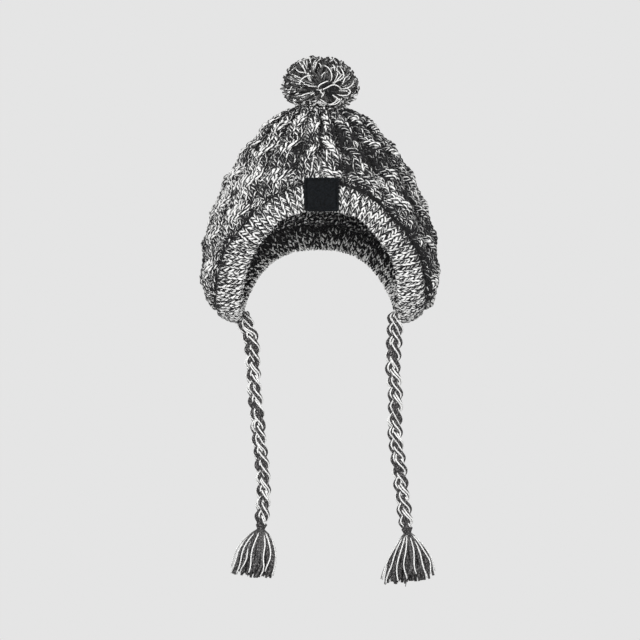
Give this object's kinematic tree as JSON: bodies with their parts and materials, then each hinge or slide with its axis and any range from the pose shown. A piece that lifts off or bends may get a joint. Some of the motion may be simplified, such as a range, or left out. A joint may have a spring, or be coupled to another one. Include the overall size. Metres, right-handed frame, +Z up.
{
  "type": "pet pom-pom beanie",
  "caption": "Cable-knit beanie for a dog or cat with a ribbed band, a bare label, a yarn pom-pom on top, and plaited ties with tassels that hang from its flaps.",
  "frame": {"origin": "the inside top of the crown, on the middle line, where a head carries the hat", "axes": "+Z up through the pom-pom, -Y out of the face opening, +X to the right as seen from the front"},
  "size_m": [0.1772, 0.1405, 0.3989],
  "materials": {
    "cable_knit": "chunky marled acrylic yarn, black and off-white plies, cable knit",
    "ribbed_knit": "chunky marled acrylic yarn, stitches across the band, doubled",
    "label_rubber": "matte moulded patch with a fine grain",
    "pompom_yarn": "cut marled yarn, mostly black with off-white plies",
    "braid_yarn": "three-strand plait of marled yarn",
    "tassel_yarn": "cut marled yarn ends"
  },
  "bodies": {
    "root": {"crown": "cable_knit", "ribbed_band": "ribbed_knit", "label_patch": "label_rubber", "pompom": "pompom_yarn", "left_braid": "braid_yarn", "left_tassel_wrap": "braid_yarn", "left_tassel": "tassel_yarn", "right_braid": "braid_yarn", "right_tassel_wrap": "braid_yarn", "right_tassel": "tassel_yarn"}
  },
  "joints": []
}
